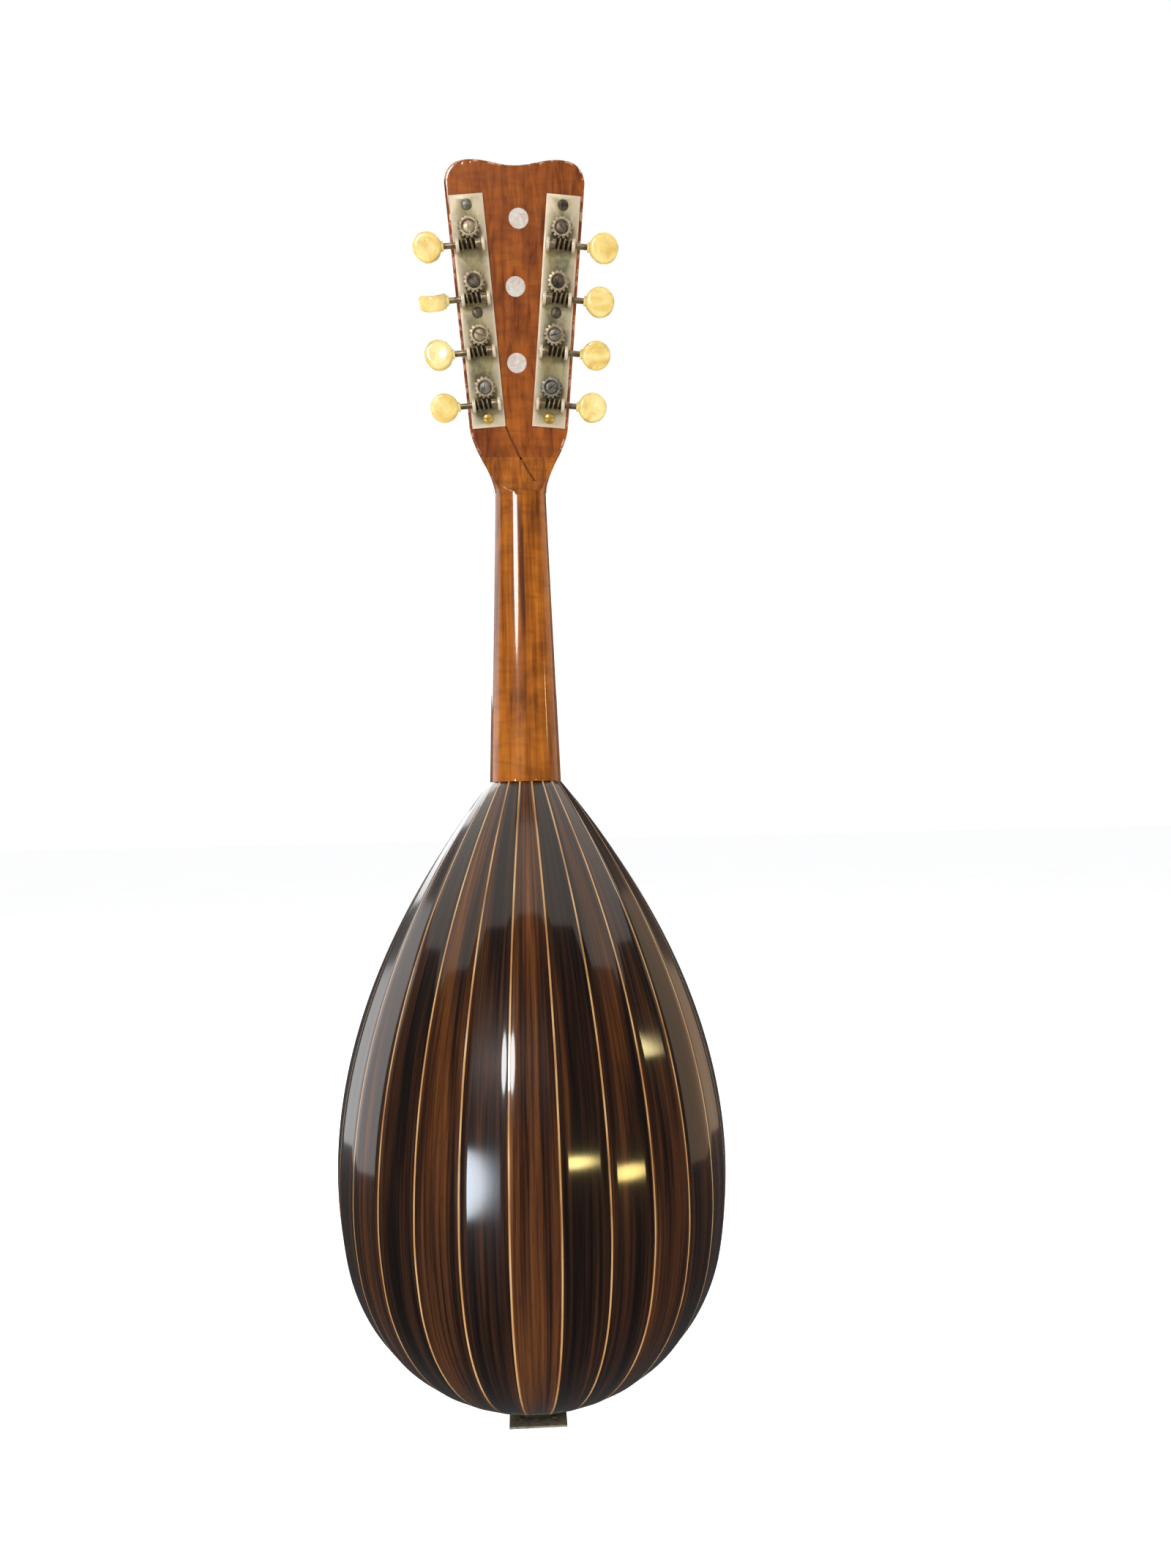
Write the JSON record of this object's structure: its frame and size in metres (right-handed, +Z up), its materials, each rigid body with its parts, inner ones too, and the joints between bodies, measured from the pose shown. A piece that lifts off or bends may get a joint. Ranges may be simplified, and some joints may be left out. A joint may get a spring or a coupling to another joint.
{
  "type": "bowl-back mandolin",
  "caption": "Bowl-back mandolin with a ribbed round back, short neck, leaning headstock, worm-gear tuners in two strips, floating bridge and paired strings.",
  "frame": {"origin": "on the centre line, in the plane of the soundboard and of the neck's front, at the nut, where a hanger's yoke carries the headstock's shoulders", "axes": "+Z up the neck to the headstock, +Y out of the bowl's back, -Y the side of the strings, X across"},
  "size_m": [0.1878, 0.135, 0.6166],
  "materials": {
    "rosewood": "dark rosewood ribs under glossy varnish",
    "light_line": "pale maple line, varnished",
    "clasp_wood": "rosewood veneer, glossy",
    "ivory_line": "ivory-coloured celluloid, polished",
    "spruce": "spruce, aged varnish",
    "plain_wood": "unfinished inside wood",
    "neck_wood": "amber-brown varnished, glossy",
    "head_wood": "red-brown varnished, worn at the edges",
    "ebony": "ebony, satin",
    "fret_metal": "nickel silver, worn",
    "pearl": "mother of pearl, polished",
    "bone": "bone, polished",
    "tuner_metal": "aged nickel silver with a yellow-green patina",
    "gear_metal": "dark bronze-grey, worn bright on top",
    "screw_metal": "slotted screws, dull",
    "tortoise": "tortoiseshell celluloid, polished",
    "mosaic": "dark mastic with pearl pieces",
    "string_steel": "steel and wound strings",
    "button": "ivory-coloured celluloid, yellowed and chipped"
  },
  "bodies": {
    "body": {"bowl_ribs": "rosewood", "rib_fillets": "light_line", "tail_clasp": "clasp_wood", "rim_binding": "ivory_line", "soundboard": "spruce", "soundboard_braces": "plain_wood", "top_linings": "plain_wood", "neck_block": "plain_wood", "tail_block": "plain_wood", "neck": "neck_wood", "headstock": "head_wood", "headstock_veneer": "clasp_wood", "fingerboard": "ebony", "frets": "fret_metal", "fingerboard_dots": "pearl", "headstock_dots": "pearl", "nut": "bone", "bridge": "ebony", "bridge_saddle": "bone", "tailpiece": "tuner_metal", "tailpiece_screws": "screw_metal", "pickguard": "tortoise", "rosette": "mosaic", "strings": "string_steel", "tuner_plate_left": "tuner_metal", "tuner_plate_right": "tuner_metal", "plate_screws": "screw_metal", "post_bushings": "bone"},
    "knob_1": {"worm_shaft_1": "gear_metal", "button_1": "button"},
    "post_1": {"gear_wheel_1": "gear_metal", "string_post_1": "tuner_metal"},
    "knob_2": {"worm_shaft_2": "gear_metal", "button_2": "button"},
    "post_2": {"gear_wheel_2": "gear_metal", "string_post_2": "tuner_metal"},
    "knob_3": {"worm_shaft_3": "gear_metal", "button_3": "button"},
    "post_3": {"gear_wheel_3": "gear_metal", "string_post_3": "tuner_metal"},
    "knob_4": {"worm_shaft_4": "gear_metal", "button_4": "button"},
    "post_4": {"gear_wheel_4": "gear_metal", "string_post_4": "tuner_metal"},
    "knob_5": {"worm_shaft_5": "gear_metal", "button_5": "button"},
    "post_5": {"gear_wheel_5": "gear_metal", "string_post_5": "tuner_metal"},
    "knob_6": {"worm_shaft_6": "gear_metal", "button_6": "button"},
    "post_6": {"gear_wheel_6": "gear_metal", "string_post_6": "tuner_metal"},
    "knob_7": {"worm_shaft_7": "gear_metal", "button_7": "button"},
    "post_7": {"gear_wheel_7": "gear_metal", "string_post_7": "tuner_metal"},
    "knob_8": {"worm_shaft_8": "gear_metal", "button_8": "button"},
    "post_8": {"gear_wheel_8": "gear_metal", "string_post_8": "tuner_metal"}
  },
  "joints": [
    {"name": "knob_1_turn", "type": "hinge", "parent": "body", "child": "knob_1", "pos_m": [0.02193, 0.04153, 0.11591], "axis": [0.9966, -0.0156, -0.0804], "continuous": true},
    {"name": "post_1_turn", "type": "hinge", "parent": "body", "child": "post_1", "pos_m": [0.02259, 0.03971, 0.12439], "axis": [0, 0.9816, -0.1908], "continuous": true},
    {"name": "knob_2_turn", "type": "hinge", "parent": "body", "child": "knob_2", "pos_m": [0.01988, 0.03677, 0.09145], "axis": [0.9966, -0.0156, -0.0804], "continuous": true},
    {"name": "post_2_turn", "type": "hinge", "parent": "body", "child": "post_2", "pos_m": [0.02054, 0.03496, 0.09993], "axis": [0, 0.9816, -0.1908], "continuous": true},
    {"name": "knob_3_turn", "type": "hinge", "parent": "body", "child": "knob_3", "pos_m": [0.01784, 0.03202, 0.06699], "axis": [0.9966, -0.0156, -0.0804], "continuous": true},
    {"name": "post_3_turn", "type": "hinge", "parent": "body", "child": "post_3", "pos_m": [0.01849, 0.0302, 0.07547], "axis": [0, 0.9816, -0.1908], "continuous": true},
    {"name": "knob_4_turn", "type": "hinge", "parent": "body", "child": "knob_4", "pos_m": [0.01579, 0.02726, 0.04254], "axis": [0.9966, -0.0156, -0.0804], "continuous": true},
    {"name": "post_4_turn", "type": "hinge", "parent": "body", "child": "post_4", "pos_m": [0.01644, 0.02545, 0.05101], "axis": [0, 0.9816, -0.1908], "continuous": true},
    {"name": "knob_5_turn", "type": "hinge", "parent": "body", "child": "knob_5", "pos_m": [-0.02193, 0.04153, 0.11591], "axis": [-0.9966, -0.0156, -0.0804], "continuous": true},
    {"name": "post_5_turn", "type": "hinge", "parent": "body", "child": "post_5", "pos_m": [-0.02259, 0.03971, 0.12439], "axis": [0, 0.9816, -0.1908], "continuous": true},
    {"name": "knob_6_turn", "type": "hinge", "parent": "body", "child": "knob_6", "pos_m": [-0.01988, 0.03677, 0.09145], "axis": [-0.9966, -0.0156, -0.0804], "continuous": true},
    {"name": "post_6_turn", "type": "hinge", "parent": "body", "child": "post_6", "pos_m": [-0.02054, 0.03496, 0.09993], "axis": [0, 0.9816, -0.1908], "continuous": true},
    {"name": "knob_7_turn", "type": "hinge", "parent": "body", "child": "knob_7", "pos_m": [-0.01784, 0.03202, 0.06699], "axis": [-0.9966, -0.0156, -0.0804], "continuous": true},
    {"name": "post_7_turn", "type": "hinge", "parent": "body", "child": "post_7", "pos_m": [-0.01849, 0.0302, 0.07547], "axis": [0, 0.9816, -0.1908], "continuous": true},
    {"name": "knob_8_turn", "type": "hinge", "parent": "body", "child": "knob_8", "pos_m": [-0.01579, 0.02726, 0.04254], "axis": [-0.9966, -0.0156, -0.0804], "continuous": true},
    {"name": "post_8_turn", "type": "hinge", "parent": "body", "child": "post_8", "pos_m": [-0.01644, 0.02545, 0.05101], "axis": [0, 0.9816, -0.1908], "continuous": true}
  ],
  "couplings": [
    {"joint": "post_1_turn", "follows": "knob_1_turn", "ratio": 0.071429},
    {"joint": "post_2_turn", "follows": "knob_2_turn", "ratio": 0.071429},
    {"joint": "post_3_turn", "follows": "knob_3_turn", "ratio": 0.071429},
    {"joint": "post_4_turn", "follows": "knob_4_turn", "ratio": 0.071429},
    {"joint": "post_5_turn", "follows": "knob_5_turn", "ratio": 0.071429},
    {"joint": "post_6_turn", "follows": "knob_6_turn", "ratio": 0.071429},
    {"joint": "post_7_turn", "follows": "knob_7_turn", "ratio": 0.071429},
    {"joint": "post_8_turn", "follows": "knob_8_turn", "ratio": 0.071429}
  ]
}
